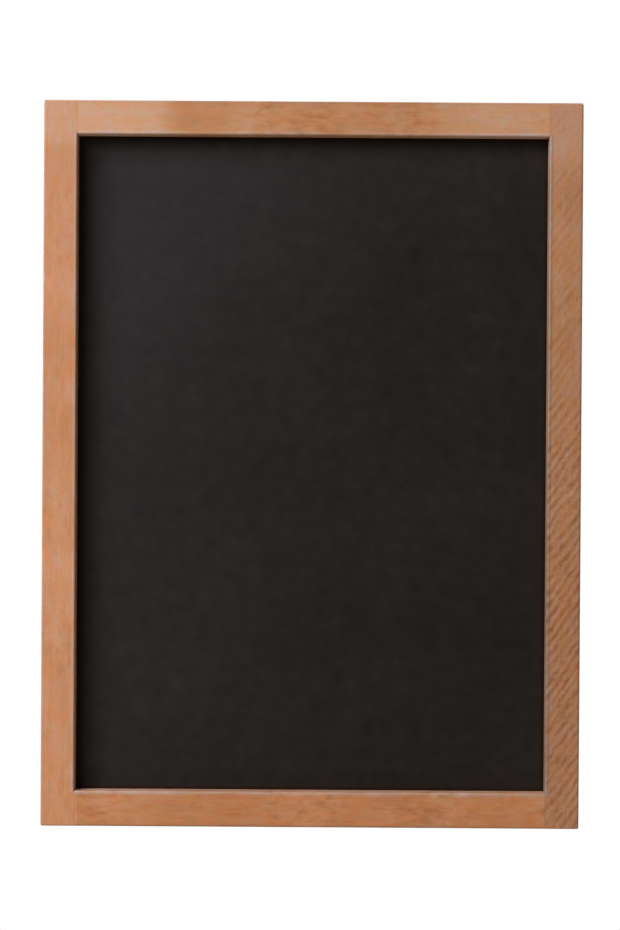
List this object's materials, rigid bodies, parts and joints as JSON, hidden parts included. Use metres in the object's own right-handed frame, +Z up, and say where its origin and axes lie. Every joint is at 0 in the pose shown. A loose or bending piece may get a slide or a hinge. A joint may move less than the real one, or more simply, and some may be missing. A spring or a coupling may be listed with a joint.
{
  "type": "chalkboard",
  "caption": "Portrait chalkboard with a matt charcoal writing panel set back in a butt-jointed wooden frame, and swinging rings on its back for wall hooks.",
  "frame": {"origin": "middle of the bottom rail's underside, halfway through the wooden frame's depth", "axes": "+Z up along the stiles, +Y back towards the wall, +X to the right as seen from the front, so the writing side faces -Y"},
  "size_m": [0.3, 0.0225, 0.404],
  "materials": {
    "frame_wood": "reddish-brown hardwood with a thin satin oil finish and eased edges",
    "dowel_wood": "plain fluted beech, unfinished",
    "writing_surface": "matt charcoal chalkboard coating",
    "hardboard": "brown hardboard, unfinished",
    "point_steel": "thin blank steel",
    "hanger_steel": "bright zinc plating",
    "screw_steel": "bright zinc plating",
    "bumper_rubber": "matt black rubber"
  },
  "bodies": {
    "frame": {"left_stile": "frame_wood", "right_stile": "frame_wood", "top_rail": "frame_wood", "bottom_rail": "frame_wood", "dowel_top_left_front": "dowel_wood", "dowel_top_left_back": "dowel_wood", "dowel_top_right_front": "dowel_wood", "dowel_top_right_back": "dowel_wood", "dowel_bottom_left_front": "dowel_wood", "dowel_bottom_left_back": "dowel_wood", "dowel_bottom_right_front": "dowel_wood", "dowel_bottom_right_back": "dowel_wood", "writing_sheet": "writing_surface", "backing_board": "hardboard", "point_left_lower": "point_steel", "point_left_middle": "point_steel", "point_left_upper": "point_steel", "point_right_lower": "point_steel", "point_right_middle": "point_steel", "point_right_upper": "point_steel", "point_top_left": "point_steel", "point_top_right": "point_steel", "point_bottom_left": "point_steel", "point_bottom_right": "point_steel", "left_hanger_plate": "hanger_steel", "left_hanger_screw": "screw_steel", "right_hanger_plate": "hanger_steel", "right_hanger_screw": "screw_steel", "left_bumper": "bumper_rubber", "right_bumper": "bumper_rubber"},
    "left_ring": {"left_hanger_ring": "hanger_steel"},
    "right_ring": {"right_hanger_ring": "hanger_steel"}
  },
  "joints": [
    {"name": "left_ring_swing", "type": "hinge", "parent": "frame", "child": "left_ring", "pos_m": [-0.14305, 0.01125, 0.342], "axis": [1, 0, 0], "range_deg": [0, 180]},
    {"name": "right_ring_swing", "type": "hinge", "parent": "frame", "child": "right_ring", "pos_m": [0.14305, 0.01125, 0.342], "axis": [1, 0, 0], "range_deg": [0, 180]}
  ]
}
